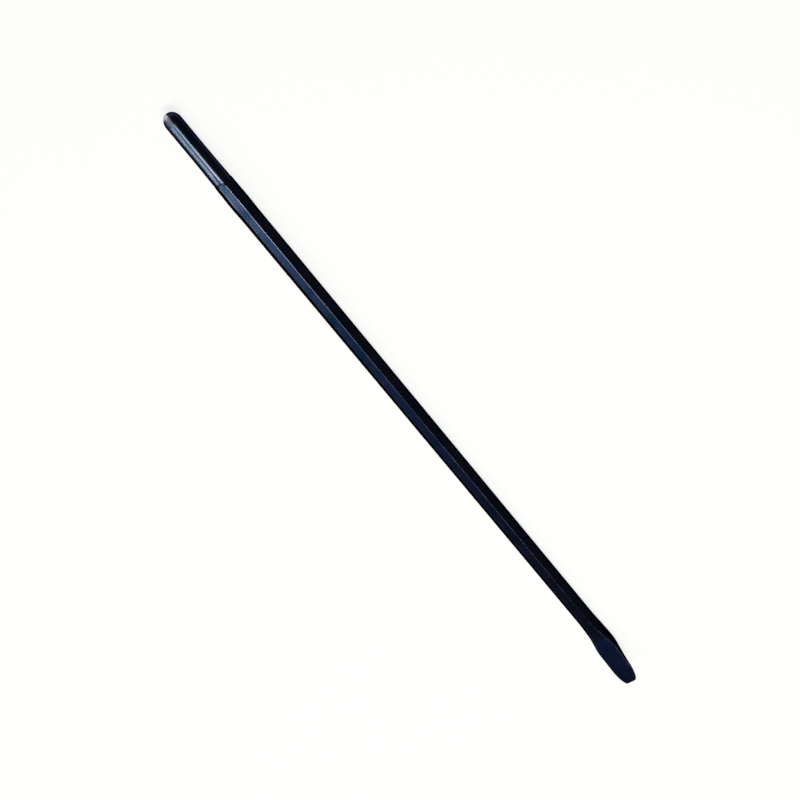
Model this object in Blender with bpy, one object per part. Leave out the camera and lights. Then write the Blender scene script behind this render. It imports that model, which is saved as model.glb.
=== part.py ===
"""Straight crowbar, forged in one piece from octagonal steel bar.

X runs along the bar, from the domed heel to the chisel blade. +Z is up as the bar lies on one of
its flats, and the origin is under the middle of the bar, on the surface that it lies on.
"""

import math

import bmesh
import bpy

MM = 0.001

# Octagonal bar stock
BAR_LENGTH = 1000 * MM  # heel dome to blade edge
ACROSS_FLATS = 22 * MM
ARRIS_RADIUS = 2.5 * MM  # the rolled corners between the flats
ARRIS_STEPS = 2
ARRIS_SHARE = 0.45  # largest share of a side that one rounded corner takes

# Heel, turned round from the octagon, with a domed end
HEEL_DIAMETER = 21.4 * MM
HEEL_LENGTH = 101 * MM  # from the heel's end to the foot of the shoulder
DOME_LENGTH = 13 * MM
DOME_STEPS = 9
FLARE_LENGTH = 45 * MM  # the last stretch of the heel, which widens towards the shoulder
FLARE_DIAMETER = 22.5 * MM  # at the foot of the shoulder
FLARE_CURVE = 1.3  # 1 is a cone, and more keeps the heel straight for longer
FLARE_STEPS = 5
SHOULDER_TAPER = math.radians(8)
SHOULDER_CLEARANCE = 0.3 * MM  # how far the turning runs out past the corners of the bar
HEEL_FACETS = 64

# Swell of the bar past the shoulder, on its top and sides. The underside stays flat.
SWELL_HEIGHT = 0.3 * MM
SWELL_GAP = 8 * MM  # from the shoulder's foot to the start of the swell
SWELL_BLEND = 22 * MM  # run-in and run-out of the swell
SWELL_LENGTH = 4 * MM  # full height between them
SWELL_STEPS = 5
SWELL_START = HEEL_LENGTH + SWELL_GAP
SWELL_END = SWELL_START + 2 * SWELL_BLEND + SWELL_LENGTH

# Chisel blade: spread, lifted and drawn down to an edge
BLADE_LENGTH = 126 * MM  # where the forging starts, from the edge
BLADE_WIDTH = 26.8 * MM  # at its widest
SPREAD_START = 90 * MM
SPREAD_END = 58 * MM
SIDE_TAPER = math.radians(1)  # of each side, from the widest place to the nose
CORNER_START = 118 * MM  # the wide corners of the octagon close up over this stretch
CORNER_END = 62 * MM
BLADE_CORNER = 1.2 * MM  # chamfer left on the blade's long corners
CORNER_TO_THICKNESS = 0.3  # largest share of a thin section that its chamfer takes
CORNER_TO_HALF_WIDTH = 0.6
LIFT_ANGLE = math.radians(5.7)  # of the blade's flat upper face
LIFT_START = 98 * MM
LIFT_BEND = 20 * MM  # the bend before the face runs straight
DRAW_START = 98 * MM  # the bar thins from here
DRAW_END = 25 * MM  # to here, and then runs on as a plain wedge
EDGE_THICKNESS = 2.5 * MM
EDGE_WEDGE = math.radians(6.5)  # angle between the faces at the edge
NOSE_LENGTH = 27 * MM  # rounded plan of the blade's end
EDGE_WIDTH = 11 * MM  # straight stretch of the edge
SPREAD_STEPS = 17  # sections from the start of the forging to the widest place
BLADE_STEPS = 7  # from there to the nose
NOSE_STEPS = 9

AXIS_HEIGHT = ACROSS_FLATS / 2
HEEL_END_X = -BAR_LENGTH / 2
EDGE_X = BAR_LENGTH / 2
HALF_TURN_OF_A_CORNER = math.radians(22.5)
STOCK_CORNER = ACROSS_FLATS / 2 * (1 - math.tan(HALF_TURN_OF_A_CORNER))
STOCK_CORNER_RADIUS = ACROSS_FLATS / 2 / math.cos(HALF_TURN_OF_A_CORNER)
SHARP_ANGLE = math.radians(35)
SAME_POINT = 0.001 * MM


def clear_the_scene():
    for item in list(bpy.data.objects):
        bpy.data.objects.remove(item, do_unlink=True)


def eased(value, start, end):
    """0 before start and 1 after end, with a smooth turn between them. End may lie before start."""
    share = min(max((value - start) / (end - start), 0.0), 1.0)
    return share * share * (3 - 2 * share)


def painted_steel():
    material = bpy.data.materials.new("black_painted_forged_steel")
    material.use_nodes = True
    shader = material.node_tree.nodes["Principled BSDF"]
    shader.inputs["Base Color"].default_value = (0.010, 0.012, 0.018, 1.0)
    shader.inputs["Metallic"].default_value = 0.3
    shader.inputs["Roughness"].default_value = 0.28
    return material


def outline_corners(half_width, low, high, corner):
    """The eight corners of a cross-section as (y, z), anticlockwise as seen from the blade."""
    inner = half_width - corner
    return [
        (inner, high),
        (-inner, high),
        (-half_width, high - corner),
        (-half_width, low + corner),
        (-inner, low),
        (inner, low),
        (half_width, low + corner),
        (half_width, high - corner),
    ]


def rounded_outline(corners, radius):
    """Each corner, a turn of 45 degrees, becomes an arc of the radius."""
    points = []
    for index, (y, z) in enumerate(corners):
        before = corners[index - 1]
        after = corners[(index + 1) % len(corners)]
        reach = radius * math.tan(HALF_TURN_OF_A_CORNER)
        to_before = math.atan2(before[1] - z, before[0] - y)
        to_after = math.atan2(after[1] - z, after[0] - y)
        start = (y + reach * math.cos(to_before), z + reach * math.sin(to_before))
        heading = to_before + math.pi
        turn = (to_after - heading + math.pi) % (2 * math.pi) - math.pi
        centre_y = start[0] - radius * math.sin(heading)
        centre_z = start[1] + radius * math.cos(heading)
        for step in range(ARRIS_STEPS + 1):
            angle = heading - math.pi / 2 + turn * step / ARRIS_STEPS
            points.append((centre_y + radius * math.cos(angle), centre_z + radius * math.sin(angle)))
    return points


def lift(from_edge):
    """Height of the blade's upper face above the bar's upper flat: a bend, then a straight slope."""
    run = max(LIFT_START - from_edge, 0.0)
    if run < LIFT_BEND:
        return math.tan(LIFT_ANGLE) * run**2 / (2 * LIFT_BEND)
    return math.tan(LIFT_ANGLE) * (run - LIFT_BEND / 2)


def drawn_thickness(from_edge):
    """From the full bar down to a plain wedge, and with it to the edge."""
    wedge = EDGE_THICKNESS + math.tan(EDGE_WEDGE) * from_edge
    return wedge + (ACROSS_FLATS - wedge) * eased(from_edge, DRAW_END, DRAW_START)


def half_width_at(from_edge):
    """Half the width of the bar towards the edge: spread, tapered and rounded off at the nose."""
    spread = eased(from_edge, SPREAD_START, SPREAD_END)
    half_width = (ACROSS_FLATS + (BLADE_WIDTH - ACROSS_FLATS) * spread) / 2
    half_width -= math.tan(SIDE_TAPER) * max(SPREAD_END - from_edge, 0.0)
    if from_edge < NOSE_LENGTH:
        along = 1 - from_edge / NOSE_LENGTH
        half_width = EDGE_WIDTH / 2 + (half_width - EDGE_WIDTH / 2) * math.sqrt(1 - along**2)
    return half_width


def section_at(x):
    """The outline of the forged bar at x, as (y, z) points."""
    from_heel = x - HEEL_END_X
    from_edge = EDGE_X - x
    swell = SWELL_HEIGHT * eased(from_heel, SWELL_START, SWELL_START + SWELL_BLEND)
    swell *= eased(from_heel, SWELL_END, SWELL_END - SWELL_BLEND)
    half_width = half_width_at(from_edge) + swell
    high = ACROSS_FLATS + lift(from_edge) + swell
    thickness = drawn_thickness(from_edge) + swell
    closing = eased(from_edge, CORNER_START, CORNER_END)
    corner = STOCK_CORNER + (BLADE_CORNER - STOCK_CORNER) * closing
    corner = min(corner, CORNER_TO_THICKNESS * thickness, CORNER_TO_HALF_WIDTH * half_width)
    shortest_side = min(corner * math.sqrt(2), thickness - 2 * corner)
    radius = min(ARRIS_RADIUS, ARRIS_SHARE * shortest_side / math.tan(HALF_TURN_OF_A_CORNER))
    return rounded_outline(outline_corners(half_width, high - thickness, high, corner), radius)


def section_places():
    """X of each section: few along the plain bar, close together where the form changes."""
    overhang = DOME_LENGTH / 2
    places = [HEEL_END_X - overhang]
    for step in range(SWELL_STEPS + 1):
        places.append(HEEL_END_X + SWELL_START + SWELL_BLEND * step / SWELL_STEPS)
    for step in range(SWELL_STEPS + 1):
        places.append(HEEL_END_X + SWELL_END - SWELL_BLEND * (1 - step / SWELL_STEPS))
    spreading = (BLADE_LENGTH, SPREAD_END, SPREAD_STEPS)
    blade = (SPREAD_END, NOSE_LENGTH, BLADE_STEPS)
    for start, end, steps in (spreading, blade):
        for step in range(steps):
            places.append(EDGE_X - start + (start - end) * step / steps)
    for step in range(NOSE_STEPS + 1):
        places.append(EDGE_X - NOSE_LENGTH * (1 - math.sin(math.pi / 2 * step / NOSE_STEPS)))
    return places


def forged_bar_mesh():
    """Sections along the bar, bridged one to the next and capped at both ends."""
    bm = bmesh.new()
    earlier_edges = None
    for x in section_places():
        ring = [bm.verts.new((x, y, z)) for y, z in section_at(x)]
        edges = [bm.edges.new((ring[i - 1], ring[i])) for i in range(len(ring))]
        if earlier_edges is None:
            bm.faces.new(ring)
        else:
            bmesh.ops.bridge_loops(bm, edges=earlier_edges + edges)
        earlier_edges = edges
    bm.faces.new(ring)
    bmesh.ops.recalc_face_normals(bm, faces=bm.faces)
    mesh = bpy.data.meshes.new("forged_bar")
    bm.to_mesh(mesh)
    bm.free()
    return mesh


def turning_profile():
    """The heel's outline as (distance from the end of the dome, radius), out to past the blade."""
    heel_radius = HEEL_DIAMETER / 2
    flare_radius = FLARE_DIAMETER / 2
    flare_start = HEEL_LENGTH - FLARE_LENGTH
    profile = [(0.0, 0.0)]
    for step in range(1, DOME_STEPS + 1):
        angle = math.pi / 2 * step / DOME_STEPS
        profile.append((DOME_LENGTH * (1 - math.cos(angle)), heel_radius * math.sin(angle)))
    for step in range(FLARE_STEPS + 1):
        share = step / FLARE_STEPS
        radius = heel_radius + (flare_radius - heel_radius) * share**FLARE_CURVE
        profile.append((flare_start + FLARE_LENGTH * share, radius))
    clear_radius = STOCK_CORNER_RADIUS + math.sqrt(2) * SWELL_HEIGHT + SHOULDER_CLEARANCE
    shoulder_length = (clear_radius - flare_radius) / math.tan(SHOULDER_TAPER)
    shoulder_end = HEEL_LENGTH + shoulder_length
    past_everything = ACROSS_FLATS + BLADE_LENGTH
    profile.append((shoulder_end, clear_radius))
    profile.append((shoulder_end, past_everything))
    profile.append((BAR_LENGTH + past_everything, past_everything))
    profile.append((BAR_LENGTH + past_everything, 0.0))
    return profile


def turning_envelope():
    """What the lathe leaves: a solid of revolution that keeps the heel round and clears the rest."""
    bm = bmesh.new()
    axis_point = (0, 0, AXIS_HEIGHT)
    line = [bm.verts.new((HEEL_END_X + along, radius, AXIS_HEIGHT)) for along, radius in turning_profile()]
    edges = [bm.edges.new(pair) for pair in zip(line, line[1:])]
    bmesh.ops.spin(
        bm,
        geom=line + edges,
        cent=axis_point,
        axis=(1, 0, 0),
        angle=2 * math.pi,
        steps=HEEL_FACETS,
        use_merge=True,
    )
    bmesh.ops.remove_doubles(bm, verts=bm.verts, dist=SAME_POINT)
    bmesh.ops.recalc_face_normals(bm, faces=bm.faces)
    mesh = bpy.data.meshes.new("turning_envelope")
    bm.to_mesh(mesh)
    bm.free()
    envelope = bpy.data.objects.new("turning_envelope", mesh)
    envelope.hide_render = True
    envelope.display_type = "WIRE"
    bpy.context.scene.collection.objects.link(envelope)
    return envelope


def build_bar():
    bar = bpy.data.objects.new("forged_bar", forged_bar_mesh())
    bar.data.materials.append(painted_steel())
    bpy.context.scene.collection.objects.link(bar)
    turning = bar.modifiers.new("turned_heel", "BOOLEAN")
    turning.operation = "INTERSECT"
    turning.solver = "EXACT"
    turning.object = turning_envelope()
    bar.data.shade_smooth()
    bar.data.set_sharp_from_angle(angle=SHARP_ANGLE)


clear_the_scene()
build_bar()
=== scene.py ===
"""A straight octagonal crowbar in black lacquer, lying on white paper."""

import math

import bmesh
import bpy
from mathutils import Matrix, Vector


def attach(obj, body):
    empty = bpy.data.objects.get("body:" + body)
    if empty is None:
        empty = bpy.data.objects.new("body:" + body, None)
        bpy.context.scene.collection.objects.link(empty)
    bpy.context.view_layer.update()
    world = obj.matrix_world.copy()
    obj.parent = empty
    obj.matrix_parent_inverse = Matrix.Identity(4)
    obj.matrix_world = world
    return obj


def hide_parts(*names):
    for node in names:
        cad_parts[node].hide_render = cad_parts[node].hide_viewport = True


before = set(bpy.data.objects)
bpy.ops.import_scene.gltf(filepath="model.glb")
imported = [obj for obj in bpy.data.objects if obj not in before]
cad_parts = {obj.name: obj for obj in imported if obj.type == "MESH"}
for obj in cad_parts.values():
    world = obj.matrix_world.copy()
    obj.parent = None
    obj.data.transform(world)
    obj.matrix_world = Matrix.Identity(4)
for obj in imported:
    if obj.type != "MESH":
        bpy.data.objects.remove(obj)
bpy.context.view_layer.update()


# Forged bar
# The whole tool is one piece of octagonal tool steel. Its heel is turned round and domed, and its
# other end is forged out into a lifted chisel blade. The corners of the bar are rolled, not sharp.

MM = 0.001

BAR_LENGTH = 1000 * MM
BAR_SIDES = 8
ACROSS_FLATS = 22 * MM
ARRIS_RADIUS = 2.5 * MM
ARRIS_STEPS = 5
FLAT_STEPS = 14
ARRIS_SHARE = 0.45  # largest share of a side that one rounded corner takes

HEEL_DIAMETER = 21.4 * MM
HEEL_LENGTH = 101 * MM
DOME_LENGTH = 13 * MM
DOME_STEPS = 26
FLARE_LENGTH = 45 * MM
FLARE_DIAMETER = 22.5 * MM
FLARE_CURVE = 1.3  # 1 would be a straight cone
SHOULDER_TAPER = math.radians(8)
GROOVE_FROM_HEEL = HEEL_LENGTH - 1.1 * MM  # the lathe's run-out, just before the shoulder
GROOVE_HALF_WIDTH = 1.1 * MM
GROOVE_DEPTH = 0.18 * MM
TURNED_EDGE_SOFTNESS = 0.04 * MM  # lacquer rounds the edge between the turning and the flats

SWELL_HEIGHT = 0.3 * MM  # by which the forging is thicker past the shoulder, on its top and sides
SWELL_GAP = 8 * MM
SWELL_BLEND = 22 * MM
SWELL_LENGTH = 4 * MM
SWELL_START = HEEL_LENGTH + SWELL_GAP
SWELL_END = SWELL_START + 2 * SWELL_BLEND + SWELL_LENGTH

BLADE_LENGTH = 126 * MM
BLADE_WIDTH = 26.8 * MM
SPREAD_START = 90 * MM  # back from the blade's edge, as are the other starts and ends here
SPREAD_END = 58 * MM
SIDE_TAPER = math.radians(1)
CORNER_START = 118 * MM
CORNER_END = 62 * MM
BLADE_CORNER = 1.2 * MM
CORNER_TO_THICKNESS = 0.3
CORNER_TO_HALF_WIDTH = 0.6
LIFT_ANGLE = math.radians(5.7)
LIFT_START = 98 * MM
LIFT_BEND = 20 * MM
DRAW_START = 98 * MM
DRAW_END = 25 * MM
EDGE_THICKNESS = 2.5 * MM
EDGE_WEDGE = math.radians(6.5)
EDGE_ROUNDING = 0.7 * MM
EDGE_ROUNDING_STEPS = 4
NOSE_LENGTH = 27 * MM  # of the rounded end of the blade
NOSE_STEPS = 22
EDGE_WIDTH = 11 * MM

HEEL_SPACING = 4 * MM  # between one ring of the mesh and the next
SHOULDER_SPACING = 0.8 * MM
GROOVE_SPACING = 0.15 * MM
SWELL_SPACING = 2 * MM
SHAFT_SPACING = 8 * MM
BLADE_SPACING = 1.5 * MM
SHARP_ANGLE = math.radians(40)

AXIS_HEIGHT = ACROSS_FLATS / 2
HEEL_END_X = -BAR_LENGTH / 2
EDGE_X = BAR_LENGTH / 2
HALF_TURN_OF_A_CORNER = math.pi / BAR_SIDES
STOCK_CORNER = ACROSS_FLATS / 2 * (1 - math.tan(HALF_TURN_OF_A_CORNER))
RING_POINTS = BAR_SIDES * (ARRIS_STEPS + FLAT_STEPS)


def eased(value, start, end):
    """0 before start and 1 after end, with a smooth turn between them."""
    share = min(max((value - start) / (end - start), 0.0), 1.0)
    return share * share * (3 - 2 * share)


def rounded_octagon(half_width, low, high, corner, radius):
    """The outline as (y, z) points: an arc at each corner, then steps along the flat after it."""
    inner = half_width - corner
    corners = [
        (inner, high),
        (-inner, high),
        (-half_width, high - corner),
        (-half_width, low + corner),
        (-inner, low),
        (inner, low),
        (half_width, low + corner),
        (half_width, high - corner),
    ]
    reach = radius * math.tan(HALF_TURN_OF_A_CORNER)
    arcs = []
    for index, (y, z) in enumerate(corners):
        before = corners[index - 1]
        after = corners[(index + 1) % len(corners)]
        to_before = math.atan2(before[1] - z, before[0] - y)
        to_after = math.atan2(after[1] - z, after[0] - y)
        heading = to_before + math.pi
        turn = (to_after - heading + math.pi) % (2 * math.pi) - math.pi
        centre_y = y + reach * math.cos(to_before) - radius * math.sin(heading)
        centre_z = z + reach * math.sin(to_before) + radius * math.cos(heading)
        arc = []
        for step in range(ARRIS_STEPS + 1):
            angle = heading - math.pi / 2 + turn * step / ARRIS_STEPS
            arc.append((centre_y + radius * math.cos(angle), centre_z + radius * math.sin(angle)))
        arcs.append(arc)
    points = []
    for index, arc in enumerate(arcs):
        start_y, start_z = arc[-1]
        end_y, end_z = arcs[(index + 1) % len(arcs)][0]
        points += arc
        for step in range(1, FLAT_STEPS):
            share = step / FLAT_STEPS
            points.append((start_y + (end_y - start_y) * share, start_z + (end_z - start_z) * share))
    return points


def lift(from_edge):
    """Height of the blade's upper face above the bar's upper flat: a bend, then a straight slope."""
    run = max(LIFT_START - from_edge, 0.0)
    if run < LIFT_BEND:
        return math.tan(LIFT_ANGLE) * run**2 / (2 * LIFT_BEND)
    return math.tan(LIFT_ANGLE) * (run - LIFT_BEND / 2)


def drawn_thickness(from_edge):
    """From the full bar down to a plain wedge, and with it to the edge."""
    wedge = EDGE_THICKNESS + math.tan(EDGE_WEDGE) * from_edge
    return wedge + (ACROSS_FLATS - wedge) * eased(from_edge, DRAW_END, DRAW_START)


def half_width_at(from_edge):
    """Half the width of the bar towards the edge: spread, tapered and rounded off at the nose."""
    spread = eased(from_edge, SPREAD_START, SPREAD_END)
    half_width = (ACROSS_FLATS + (BLADE_WIDTH - ACROSS_FLATS) * spread) / 2
    half_width -= math.tan(SIDE_TAPER) * max(SPREAD_END - from_edge, 0.0)
    if from_edge < NOSE_LENGTH:
        along = 1 - from_edge / NOSE_LENGTH
        half_width = EDGE_WIDTH / 2 + (half_width - EDGE_WIDTH / 2) * math.sqrt(1 - along**2)
    return half_width


def turned_radius(from_heel):
    """Radius of the lathe's cut: the dome, the round heel, its flare, then the widening shoulder."""
    heel_radius = HEEL_DIAMETER / 2
    flare_radius = FLARE_DIAMETER / 2
    if from_heel < DOME_LENGTH:
        along = 1 - from_heel / DOME_LENGTH
        return heel_radius * math.sqrt(max(1 - along * along, 0.0))
    if from_heel < HEEL_LENGTH:
        share = max((from_heel - HEEL_LENGTH + FLARE_LENGTH) / FLARE_LENGTH, 0.0)
        return heel_radius + (flare_radius - heel_radius) * share**FLARE_CURVE
    return flare_radius + (from_heel - HEEL_LENGTH) * math.tan(SHOULDER_TAPER)


def groove_depth(from_heel):
    """How far the run-out at the shoulder cuts in, all the way round."""
    entering = eased(from_heel, GROOVE_FROM_HEEL - GROOVE_HALF_WIDTH, GROOVE_FROM_HEEL)
    leaving = eased(from_heel, GROOVE_FROM_HEEL + GROOVE_HALF_WIDTH, GROOVE_FROM_HEEL)
    return GROOVE_DEPTH * entering * leaving


def cut_back(distance, limit):
    """The smaller of the two, with a short soft turn where they are nearly the same."""
    soft = TURNED_EDGE_SOFTNESS
    if distance <= limit - soft:
        return distance
    if distance >= limit + soft:
        return limit
    return distance - (distance - limit + soft) ** 2 / (4 * soft)


def bar_outline(x):
    """The outline of the bar at x, as (y, z) points."""
    from_heel = x - HEEL_END_X
    from_edge = EDGE_X - x
    swell = SWELL_HEIGHT * eased(from_heel, SWELL_START, SWELL_START + SWELL_BLEND)
    swell *= eased(from_heel, SWELL_END, SWELL_END - SWELL_BLEND)
    half_width = half_width_at(from_edge) + swell
    high = ACROSS_FLATS + lift(from_edge) + swell
    thickness = drawn_thickness(from_edge) + swell
    corner = STOCK_CORNER + (BLADE_CORNER - STOCK_CORNER) * eased(from_edge, CORNER_START, CORNER_END)
    corner = min(corner, CORNER_TO_THICKNESS * thickness, CORNER_TO_HALF_WIDTH * half_width)
    shortest_side = min(corner * math.sqrt(2), thickness - 2 * corner)
    radius = min(ARRIS_RADIUS, ARRIS_SHARE * shortest_side / math.tan(HALF_TURN_OF_A_CORNER))
    outline = rounded_octagon(half_width, high - thickness, high, corner, radius)
    limit = turned_radius(from_heel)
    groove = groove_depth(from_heel)
    points = []
    for y, z in outline:
        out = math.hypot(y, z - AXIS_HEIGHT)
        share = (cut_back(out, limit) - groove) / out
        points.append((y * share, AXIS_HEIGHT + (z - AXIS_HEIGHT) * share))
    return points


def evenly(start, end, spacing):
    """Places from start up to, but not at, the end."""
    count = math.ceil((end - start) / spacing)
    return [start + (end - start) * step / count for step in range(count)]


def bar_stations():
    """Distances from the heel: close together on the dome, the shoulder, the groove and the blade."""
    flare_start = HEEL_LENGTH - FLARE_LENGTH
    groove_start = GROOVE_FROM_HEEL - GROOVE_HALF_WIDTH
    groove_end = GROOVE_FROM_HEEL + GROOVE_HALF_WIDTH
    blade_start = BAR_LENGTH - BLADE_LENGTH
    nose_start = BAR_LENGTH - NOSE_LENGTH
    nose = NOSE_LENGTH - EDGE_ROUNDING
    places = []
    for step in range(1, DOME_STEPS):
        places.append(DOME_LENGTH * (1 - math.cos(math.pi / 2 * step / DOME_STEPS)))
    places += evenly(DOME_LENGTH, flare_start, HEEL_SPACING)
    places += evenly(flare_start, groove_start, SHOULDER_SPACING)
    places += evenly(groove_start, groove_end, GROOVE_SPACING)
    places += evenly(groove_end, SWELL_START, SHOULDER_SPACING)
    places += evenly(SWELL_START, SWELL_END, SWELL_SPACING)
    places += evenly(SWELL_END, blade_start, SHAFT_SPACING)
    places += evenly(blade_start, nose_start, BLADE_SPACING)
    for step in range(NOSE_STEPS + 1):
        places.append(nose_start + nose * math.sin(math.pi / 2 * step / NOSE_STEPS))
    return places


bar = bmesh.new()
bmesh.ops.create_circle(bar, cap_ends=True, segments=RING_POINTS, radius=HEEL_DIAMETER / 2)
ring = list(bar.verts)


def place_ring(corners, x, outline):
    """Moves the ring's corners onto the outline at x."""
    for corner, (y, z) in zip(corners, outline):
        corner.co = (x, y, z)


def next_ring(corners):
    """Extrudes the ring's edges and returns the new corners in the same order."""
    edges = [bar.edges.get((corners[i - 1], corners[i])) for i in range(len(corners))]
    made = bmesh.ops.extrude_edge_only(bar, edges=edges)["geom"]
    new = {item for item in made if isinstance(item, bmesh.types.BMVert)}
    return [next(e.other_vert(v) for e in v.link_edges if e.other_vert(v) in new) for v in corners]


first_x, *other_x = [HEEL_END_X + station for station in bar_stations()]
place_ring(ring, first_x, bar_outline(first_x))
for x in other_x:
    ring = next_ring(ring)
    place_ring(ring, x, bar_outline(x))

edge_outline = bar_outline(EDGE_X)
edge_middle_z = sum(z for y, z in edge_outline) / len(edge_outline)
for step in range(1, EDGE_ROUNDING_STEPS + 1):
    angle = math.pi / 2 * step / EDGE_ROUNDING_STEPS
    inset = EDGE_ROUNDING * (1 - math.cos(angle))
    wide = 1 - inset / (EDGE_WIDTH / 2)
    thick = 1 - inset / (EDGE_THICKNESS / 2)
    ring = next_ring(ring)
    outline = [(y * wide, edge_middle_z + (z - edge_middle_z) * thick) for y, z in edge_outline]
    place_ring(ring, EDGE_X - EDGE_ROUNDING * (1 - math.sin(angle)), outline)
bar.faces.new(ring)
bmesh.ops.recalc_face_normals(bar, faces=bar.faces)

bar_mesh = bpy.data.meshes.new("lacquered_bar")
bar.to_mesh(bar_mesh)
bar.free()
bar_mesh.shade_smooth()
bar_mesh.set_sharp_from_angle(angle=SHARP_ANGLE)
lacquered_bar = bpy.data.objects.new("lacquered_bar", bar_mesh)
bpy.context.scene.collection.objects.link(lacquered_bar)
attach(lacquered_bar, "root")
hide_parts("forged_bar")


def linear(hex_colour):
    """An sRGB hex colour as linear red, green, blue and an alpha of 1."""
    values = [int(hex_colour[i : i + 2], 16) / 255 for i in (1, 3, 5)]
    return [v / 12.92 if v <= 0.04045 else ((v + 0.055) / 1.055) ** 2.4 for v in values] + [1.0]


def add_node(tree, kind, settings=None, links=None):
    """Adds a node. Settings name its properties or sockets, and links name the socket and its source."""
    node = tree.nodes.new(kind)
    for name, value in (settings or {}).items():
        if isinstance(name, int) or name in node.inputs:
            node.inputs[name].default_value = value
        else:
            setattr(node, name, value)
    for name, source in (links or {}).items():
        tree.links.new(source, node.inputs[name])
    return node


# Black lacquer on forged steel: a thin glossy coat that keeps the steel's own waves and a dark
# blue-black shine. It gives long soft reflections, close to a metal's. A painted highlight colours
# one side of the domed end a greyer shine and its tip a bright steel colour.

LACQUER = "#1c2535"
THIN_LACQUER = "#2a2a3d"
GRAZING_SHINE = "#909090"  # holds the shine back where the lacquer is seen from the side
# Painted highlights on the domed end: a grey on one side and a near-white at its tip.
HIGHLIGHT_GREY = "#6c717d"
TIP_HIGHLIGHT_COLOUR = "#c8c6c2"
THIN_PATCH = 28 * MM
THIN_FROM = 0.35  # of the pattern's values, which run from 0 to 1
THIN_FULLY_FROM = 0.65
HIGHLIGHT_REACH = DOME_LENGTH
HIGHLIGHT_FADE = 3 * MM  # over which the painted highlight fades out
HIGHLIGHT_SIDE = (0.1, -0.92, 0.38)  # the side of the heel that carries the painted highlight
HIGHLIGHT_FROM = 0.1 * MM  # off the middle of the dome's end towards that side
HIGHLIGHT_FULLY_FROM = 2.1 * MM
HIGHLIGHT_FADING_FROM = 4.2 * MM
HIGHLIGHT_TO = 10.0 * MM
TIP_HIGHLIGHT_WAY = (-0.88, -0.18, -0.44)  # the way that the painted highlight at the tip faces
TIP_HIGHLIGHT_REACH = 6 * MM  # back from the dome's end
TIP_HIGHLIGHT_FADE = 3.6 * MM  # over which the painted highlight at the tip fades out

GLOSS_PATCH = 9 * MM
GLOSSY_FROM = 0.3  # of the pattern's values
DULL_FROM = 0.7
GLOSSY_ROUGHNESS = 0.18
DULL_ROUGHNESS = 0.23

ROLLED_WAVE = 34 * MM
ROLLED_WAVE_HEIGHT = 0.06 * MM
ORANGE_PEEL = 1.6 * MM
ORANGE_PEEL_HEIGHT = 0.0015 * MM
TURNING_PITCH = 0.9 * MM  # drawn coarser than a lathe leaves it, so that it shows
TURNING_HEIGHT = 0.0006 * MM
TURNING_END = 1 * MM  # over which the turning marks fade out at the shoulder
HAMMER_MARK = 11 * MM
HAMMER_MARK_HEIGHT = 0.03 * MM
HAMMERED_FROM_X = EDGE_X - BLADE_LENGTH
HAMMERED_FULLY_X = EDGE_X - SPREAD_START
WAVE_TURNS_PER_UNIT = 20 / (2 * math.pi)  # of Blender's band pattern at a scale of 1

lacquer = bpy.data.materials.new("black_lacquer_on_forged_steel")
lacquer.use_nodes = True
tree = lacquer.node_tree
shader = tree.nodes["Principled BSDF"]
shader.inputs["Metallic"].default_value = 1.0
shader.inputs["Specular Tint"].default_value = linear(GRAZING_SHINE)
place_on_bar = add_node(tree, "ShaderNodeTexCoord").outputs["Object"]
along_bar = add_node(tree, "ShaderNodeSeparateXYZ", {}, {0: place_on_bar}).outputs["X"]

thin_patches = add_node(
    tree, "ShaderNodeTexNoise", {"Scale": 1 / THIN_PATCH, "Detail": 3.0}, {"Vector": place_on_bar}
)
thinness = add_node(
    tree,
    "ShaderNodeMapRange",
    {"From Min": THIN_FROM, "From Max": THIN_FULLY_FROM},
    {"Value": thin_patches.outputs["Fac"]},
)
coat_colour = add_node(
    tree,
    "ShaderNodeMix",
    {"data_type": "RGBA", 6: linear(LACQUER), 7: linear(THIN_LACQUER)},
    {0: thinness.outputs[0]},
)

# Painted highlight: a greyer colour on one side of the dome's end stands in for a reflection there.
near_the_end = add_node(
    tree,
    "ShaderNodeMapRange",
    {
        "interpolation_type": "SMOOTHSTEP",
        "From Min": HEEL_END_X + HIGHLIGHT_REACH,
        "From Max": HEEL_END_X + HIGHLIGHT_REACH - HIGHLIGHT_FADE,
    },
    {"Value": along_bar},
)
towards_highlight_side = add_node(
    tree,
    "ShaderNodeVectorMath",
    {"operation": "DOT_PRODUCT", 1: HIGHLIGHT_SIDE},
    {0: place_on_bar},
)
dome_middle = HIGHLIGHT_SIDE[0] * HEEL_END_X + HIGHLIGHT_SIDE[2] * AXIS_HEIGHT
past_the_middle = add_node(
    tree,
    "ShaderNodeMapRange",
    {
        "interpolation_type": "SMOOTHSTEP",
        "From Min": dome_middle + HIGHLIGHT_FROM,
        "From Max": dome_middle + HIGHLIGHT_FULLY_FROM,
    },
    {0: towards_highlight_side.outputs["Value"]},
)
above_the_edge = add_node(
    tree,
    "ShaderNodeMapRange",
    {
        "interpolation_type": "SMOOTHSTEP",
        "From Min": dome_middle + HIGHLIGHT_TO,
        "From Max": dome_middle + HIGHLIGHT_FADING_FROM,
    },
    {0: towards_highlight_side.outputs["Value"]},
)
highlight_band = add_node(
    tree,
    "ShaderNodeMath",
    {"operation": "MULTIPLY"},
    {0: past_the_middle.outputs[0], 1: above_the_edge.outputs[0]},
)
grey_highlight = add_node(
    tree,
    "ShaderNodeMath",
    {"operation": "MULTIPLY"},
    {0: near_the_end.outputs[0], 1: highlight_band.outputs[0]},
)
grey_highlight_colour = add_node(
    tree,
    "ShaderNodeMix",
    {"data_type": "RGBA", 7: linear(HIGHLIGHT_GREY)},
    {0: grey_highlight.outputs[0], 6: coat_colour.outputs[2]},
)

# Painted highlight: a bright steel colour at the dome's tip stands in for a very bright reflection
# there.
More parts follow.
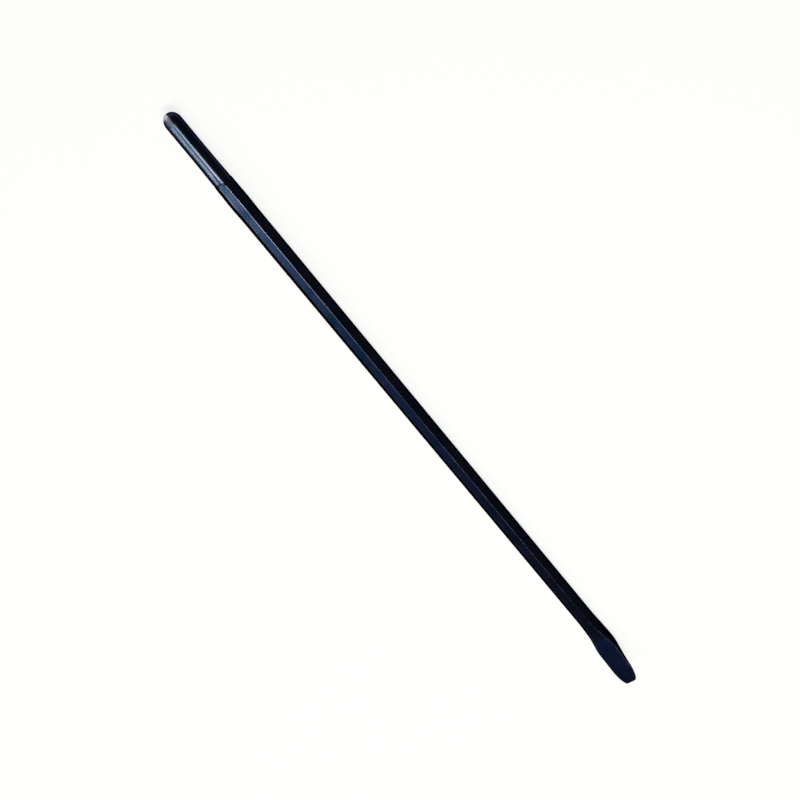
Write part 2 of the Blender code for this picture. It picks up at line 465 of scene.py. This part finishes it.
towards_the_tip = add_node(
    tree,
    "ShaderNodeVectorMath",
    {"operation": "DOT_PRODUCT", 1: TIP_HIGHLIGHT_WAY},
    {0: place_on_bar},
)
dome_tip = TIP_HIGHLIGHT_WAY[0] * HEEL_END_X + TIP_HIGHLIGHT_WAY[2] * AXIS_HEIGHT
tip_highlight_area = add_node(
    tree,
    "ShaderNodeMapRange",
    {
        "interpolation_type": "SMOOTHSTEP",
        "From Min": dome_tip - TIP_HIGHLIGHT_REACH,
        "From Max": dome_tip - TIP_HIGHLIGHT_REACH + TIP_HIGHLIGHT_FADE,
    },
    {0: towards_the_tip.outputs["Value"]},
)
tip_highlight_mask = add_node(
    tree,
    "ShaderNodeMath",
    {"operation": "MULTIPLY"},
    {0: tip_highlight_area.outputs[0], 1: past_the_middle.outputs[0]},
)
with_tip_highlight = add_node(
    tree,
    "ShaderNodeMix",
    {"data_type": "RGBA", 7: linear(TIP_HIGHLIGHT_COLOUR)},
    {0: tip_highlight_mask.outputs[0], 6: grey_highlight_colour.outputs[2]},
)
tree.links.new(with_tip_highlight.outputs[2], shader.inputs["Base Color"])

gloss_patches = add_node(
    tree, "ShaderNodeTexNoise", {"Scale": 1 / GLOSS_PATCH, "Detail": 4.0}, {"Vector": place_on_bar}
)
roughness = add_node(
    tree,
    "ShaderNodeMapRange",
    {
        "From Min": GLOSSY_FROM,
        "From Max": DULL_FROM,
        "To Min": GLOSSY_ROUGHNESS,
        "To Max": DULL_ROUGHNESS,
    },
    {"Value": gloss_patches.outputs["Fac"]},
)
tree.links.new(roughness.outputs[0], shader.inputs["Roughness"])

rolled_waves = add_node(
    tree, "ShaderNodeTexNoise", {"Scale": 1 / ROLLED_WAVE, "Detail": 1.0}, {"Vector": place_on_bar}
)
waved_surface = add_node(
    tree,
    "ShaderNodeBump",
    {"Distance": ROLLED_WAVE_HEIGHT},
    {"Height": rolled_waves.outputs["Fac"]},
)

hammer_marks = add_node(
    tree,
    "ShaderNodeTexVoronoi",
    {"feature": "SMOOTH_F1", "Scale": 1 / HAMMER_MARK, "Smoothness": 1.0},
    {"Vector": place_on_bar},
)
hammered = add_node(
    tree,
    "ShaderNodeMapRange",
    {"interpolation_type": "SMOOTHSTEP", "From Min": HAMMERED_FROM_X, "From Max": HAMMERED_FULLY_X},
    {"Value": along_bar},
)
hammer_height = add_node(
    tree,
    "ShaderNodeMath",
    {"operation": "MULTIPLY"},
    {0: hammer_marks.outputs["Distance"], 1: hammered.outputs[0]},
)
hammered_surface = add_node(
    tree,
    "ShaderNodeBump",
    {"Distance": HAMMER_MARK_HEIGHT},
    {"Height": hammer_height.outputs[0], "Normal": waved_surface.outputs[0]},
)

turning_rings = add_node(
    tree,
    "ShaderNodeTexWave",
    {"bands_direction": "X", "Scale": 1 / (TURNING_PITCH * WAVE_TURNS_PER_UNIT)},
    {"Vector": place_on_bar},
)
turned = add_node(
    tree,
    "ShaderNodeMapRange",
    {"From Min": HEEL_END_X + HEEL_LENGTH, "From Max": HEEL_END_X + HEEL_LENGTH - TURNING_END},
    {"Value": along_bar},
)
turning_height = add_node(
    tree,
    "ShaderNodeMath",
    {"operation": "MULTIPLY"},
    {0: turning_rings.outputs["Fac"], 1: turned.outputs[0]},
)
turned_surface = add_node(
    tree,
    "ShaderNodeBump",
    {"Distance": TURNING_HEIGHT},
    {"Height": turning_height.outputs[0], "Normal": hammered_surface.outputs[0]},
)

orange_peel = add_node(
    tree, "ShaderNodeTexNoise", {"Scale": 1 / ORANGE_PEEL, "Detail": 1.0}, {"Vector": place_on_bar}
)
lacquered_surface = add_node(
    tree,
    "ShaderNodeBump",
    {"Distance": ORANGE_PEEL_HEIGHT},
    {"Height": orange_peel.outputs["Fac"], "Normal": turned_surface.outputs[0]},
)
tree.links.new(lacquered_surface.outputs[0], shader.inputs["Normal"])
bar_mesh.materials.append(lacquer)


# Floor
# A sheet of matt white paper that the bar lies on, wide enough to fill the view from any side. It is
# seen mostly as plain white, and the rest of its look is real paper, which keeps the bar's shadow.

PAPER = "#e9ebf5"
PLAIN_WHITE = "#fefefe"
PLAIN_WHITE_SHARE = 0.85
FLOOR_RADIUS = 12.0  # metres
FLOOR_SEGMENTS = 96
FLOOR_GAP = 0.2 * MM

floor_shape = bmesh.new()
bmesh.ops.create_circle(floor_shape, cap_ends=True, segments=FLOOR_SEGMENTS, radius=FLOOR_RADIUS)
bmesh.ops.translate(floor_shape, verts=floor_shape.verts, vec=(0, 0, -FLOOR_GAP))
floor_mesh = bpy.data.meshes.new("floor")
floor_shape.to_mesh(floor_mesh)
floor_shape.free()
floor = bpy.data.objects.new("floor", floor_mesh)
bpy.context.scene.collection.objects.link(floor)

paper = bpy.data.materials.new("matt_white_paper")
paper.use_nodes = True
tree = paper.node_tree
tree.nodes.clear()


def seen_directly(tree):
    """1 for what the camera, a reflection or a glass sees, and 0 for the light that falls on things."""
    path = add_node(tree, "ShaderNodeLightPath")
    camera_or_glossy = add_node(
        tree,
        "ShaderNodeMath",
        {"operation": "MAXIMUM"},
        {0: path.outputs["Is Camera Ray"], 1: path.outputs["Is Glossy Ray"]},
    )
    any_of_them = add_node(
        tree,
        "ShaderNodeMath",
        {"operation": "MAXIMUM"},
        {0: camera_or_glossy.outputs[0], 1: path.outputs["Is Transmission Ray"]},
    )
    return any_of_them.outputs[0]


plain_share = add_node(
    tree,
    "ShaderNodeMath",
    {"operation": "MULTIPLY", 1: PLAIN_WHITE_SHARE},
    {0: seen_directly(tree)},
)
matt = add_node(tree, "ShaderNodeBsdfDiffuse", {"Color": linear(PAPER)})
plain = add_node(tree, "ShaderNodeEmission", {"Color": linear(PLAIN_WHITE), "Strength": 1.0})
floor_look = add_node(
    tree,
    "ShaderNodeMixShader",
    {},
    {0: plain_share.outputs[0], 1: matt.outputs[0], 2: plain.outputs[0]},
)
add_node(tree, "ShaderNodeOutputMaterial", {}, {"Surface": floor_look.outputs[0]})
floor_mesh.materials.append(paper)


# Studio light
# Narrow soft boxes hang one behind the other beyond the blade. Their reflections make the bright
# strips on the heel and the line along the bar, which fades towards the blade. Two more light the
# heel's side and the upper flat, and small ones give the blue past the shoulder and the glints.

ROLLED_VIEW = HALF_TURN_OF_A_CORNER  # the camera looks straight at the arris beside the upper flat
TOWARDS_CAMERA = Vector((0, math.sin(ROLLED_VIEW), math.cos(ROLLED_VIEW)))
ACROSS_THE_VIEW = Vector((0, -math.cos(ROLLED_VIEW), math.sin(ROLLED_VIEW)))
ALONG_THE_BAR = Vector((1, 0, 0))
LIT_PLACE = Vector((HEEL_END_X + 90 * MM, 0, AXIS_HEIGHT))  # on the heel, near its shoulder
LAMP_DISTANCE = 3.0  # metres


def soft_box(name, across, along, wide, long, watts, colour):
    """A lamp, placed by degrees across and along the bar as seen from the lit place."""
    across = math.radians(across)
    along = math.radians(along)
    side = math.cos(across) * TOWARDS_CAMERA + math.sin(across) * ACROSS_THE_VIEW
    direction = math.cos(along) * side + math.sin(along) * ALONG_THE_BAR
    data = bpy.data.lights.new(name, "AREA")
    data.shape = "RECTANGLE"
    data.size = wide
    data.size_y = long
    data.energy = watts
    data.color = linear(colour)[:3]
    lamp = bpy.data.objects.new(name, data)
    back = direction.normalized()
    width = back.cross(ALONG_THE_BAR).normalized()
    height = back.cross(width)
    turned_to_bar = Matrix((width, height, back)).transposed().to_4x4()
    lamp.matrix_world = Matrix.Translation(LIT_PLACE + LAMP_DISTANCE * direction) @ turned_to_bar
    bpy.context.scene.collection.objects.link(lamp)


soft_box("heel_box", across=18, along=18.5, wide=0.7, long=0.2, watts=16, colour="#ffefc0")
soft_box("shoulder_box", across=18, along=21.9, wide=0.95, long=0.16, watts=42, colour="#f9ffd8")
soft_box("shaft_box", across=16, along=26.6, wide=0.8, long=0.34, watts=12, colour="#f4ffd4")
soft_box("side_box", across=65, along=18.5, wide=1.9, long=0.15, watts=36, colour="#fcffcf")
soft_box("fill_box", across=37, along=13.5, wide=1.55, long=0.155, watts=16, colour="#dcfff0")
soft_box("blue_box", across=45, along=22.5, wide=0.6, long=0.2, watts=1.6, colour="#8ce6ff")
soft_box("end_box", across=87, along=-50.0, wide=1.4, long=0.7, watts=4, colour="#f9f2ff")
soft_box("glint_box", across=1, along=41.0, wide=0.25, long=0.3, watts=5, colour="#ffffff")


# Dark cards
# Black cloths hang above the bar and beside it, and a low one stands along it, on its right in the
# picture. Only reflections show them, and they keep the flats that face them black. One has a blue
# end, which the upper flat mirrors.

CLOTH_IN_THE_LIGHT = "#6c6c6c"
BLUE_CLOTH = "#59a2f6"
BLUE_CLOTH_END_X = 1.7  # metres, as are the other places of the cards
PLAIN_CLOTH_START_X = 2.7
CARD_START_X = -4.5
CARD_MIDDLE_X = 0.4
CARD_END_X = 6.5
SIDE_CARD_Y = 2.3
CARD_MIDDLE_Y = 0.3
TOP_CARD_Y = -3.2
CARD_TOP = 3.4
LOW_CARD_Y = 40 * MM
LOW_CARD_REACH = 0.6
LOW_CARD_HEIGHT = 80 * MM


def dark_card(name, start, end, material):
    """A flat cloth between two opposite corners, which only a reflection sees."""
    cloth = bmesh.new()
    bmesh.ops.create_grid(cloth, x_segments=1, y_segments=1, size=1)
    for corner in cloth.verts:
        x = start[0] if corner.co.x < 0 else end[0]
        y = start[1] if corner.co.y < 0 else end[1]
        z = start[2] if corner.co.y < 0 else end[2]
        corner.co = (x, y, z)
    mesh = bpy.data.meshes.new(name)
    cloth.to_mesh(mesh)
    cloth.free()
    mesh.materials.append(material)
    card = bpy.data.objects.new(name, mesh)
    card.visible_camera = False
    card.visible_diffuse = False
    card.visible_shadow = False
    bpy.context.scene.collection.objects.link(card)


blue_ended_cloth = bpy.data.materials.new("black_studio_cloth")
blue_ended_cloth.use_nodes = True
tree = blue_ended_cloth.node_tree
tree.nodes.clear()
place_on_card = add_node(tree, "ShaderNodeTexCoord").outputs["Object"]
along_card = add_node(tree, "ShaderNodeSeparateXYZ", {}, {0: place_on_card}).outputs["X"]
fading = add_node(
    tree,
    "ShaderNodeMapRange",
    {
        "interpolation_type": "SMOOTHSTEP",
        "From Min": BLUE_CLOTH_END_X,
        "From Max": PLAIN_CLOTH_START_X,
    },
    {"Value": along_card},
)
card_colour = add_node(
    tree,
    "ShaderNodeMix",
    {"data_type": "RGBA", 6: linear(BLUE_CLOTH), 7: linear(CLOTH_IN_THE_LIGHT)},
    {0: fading.outputs[0]},
)
faint = add_node(tree, "ShaderNodeEmission", {"Strength": 1.0}, {"Color": card_colour.outputs[2]})
add_node(tree, "ShaderNodeOutputMaterial", {}, {"Surface": faint.outputs[0]})

plain_cloth = bpy.data.materials.new("plain_black_cloth")
plain_cloth.use_nodes = True
tree = plain_cloth.node_tree
tree.nodes.clear()
faint = add_node(tree, "ShaderNodeEmission", {"Color": linear(CLOTH_IN_THE_LIGHT), "Strength": 1.0})
add_node(tree, "ShaderNodeOutputMaterial", {}, {"Surface": faint.outputs[0]})

dark_card(
    "side_card",
    (CARD_START_X, SIDE_CARD_Y, 0.0),
    (CARD_END_X, SIDE_CARD_Y, CARD_TOP),
    plain_cloth,
)
dark_card(
    "far_top_card",
    (CARD_START_X, CARD_MIDDLE_Y, CARD_TOP),
    (CARD_END_X, SIDE_CARD_Y, CARD_TOP),
    plain_cloth,
)
dark_card(
    "low_card",
    (-LOW_CARD_REACH, LOW_CARD_Y, 0.0),
    (LOW_CARD_REACH, LOW_CARD_Y, LOW_CARD_HEIGHT),
    plain_cloth,
)
dark_card(
    "near_top_card",
    (CARD_MIDDLE_X, TOP_CARD_Y, CARD_TOP),
    (CARD_END_X, CARD_MIDDLE_Y, CARD_TOP),
    blue_ended_cloth,
)


# Studio air
# A faint white light from all round fills the shadows. Seen directly, or in a reflection, the air is
# the same plain white as the paper.

AIR_LIGHT = "#ffffff"
AIR_STRENGTH = 0.12

world = bpy.data.worlds.new("studio_air")
bpy.context.scene.world = world
world.use_nodes = True
tree = world.node_tree
tree.nodes.clear()
air = add_node(tree, "ShaderNodeBackground", {"Color": linear(AIR_LIGHT), "Strength": AIR_STRENGTH})
plain = add_node(tree, "ShaderNodeBackground", {"Color": linear(PLAIN_WHITE), "Strength": 1.0})
world_look = add_node(
    tree,
    "ShaderNodeMixShader",
    {},
    {0: seen_directly(tree), 1: air.outputs[0], 2: plain.outputs[0]},
)
add_node(tree, "ShaderNodeOutputWorld", {}, {"Surface": world_look.outputs[0]})
bpy.context.scene.view_settings.view_transform = "Standard"


# Camera
# It hangs above the bar, past its heel and a little to one side, with a long lens that draws the far
# end only a little smaller. It is turned so that the bar runs down to the right.

LENS = 90.0  # millimetres
SENSOR = 36.0  # millimetres across
PICTURE = 800  # pixels across
TILT = math.radians(28.22)  # between the bar and a plane square to the line of sight
BAR_SLOPE = math.radians(50.21)  # of the bar below the horizontal in the picture
AIMED_AT = Vector((-0.03864, 0, AXIS_HEIGHT))
DISTANCE = 2.4147  # metres
AIM_RIGHT = 3.10  # where that point of the bar lies, in pixels right of and above the middle
AIM_UP = 1.52

sight = -math.sin(TILT) * ALONG_THE_BAR + math.cos(TILT) * TOWARDS_CAMERA
down_the_bar = math.cos(TILT) * ALONG_THE_BAR + math.sin(TILT) * TOWARDS_CAMERA
right = math.cos(BAR_SLOPE) * down_the_bar - math.sin(BAR_SLOPE) * ACROSS_THE_VIEW
up = -math.sin(BAR_SLOPE) * down_the_bar - math.cos(BAR_SLOPE) * ACROSS_THE_VIEW
pixel = DISTANCE * SENSOR / (LENS * PICTURE)

camera_data = bpy.data.cameras.new("camera")
camera_data.lens = LENS
camera_data.sensor_width = SENSOR
camera = bpy.data.objects.new("camera", camera_data)
bpy.context.scene.collection.objects.link(camera)
place = AIMED_AT + DISTANCE * sight - AIM_RIGHT * pixel * right - AIM_UP * pixel * up
camera.matrix_world = Matrix.Translation(place) @ Matrix((right, up, sight)).transposed().to_4x4()
bpy.context.scene.camera = camera
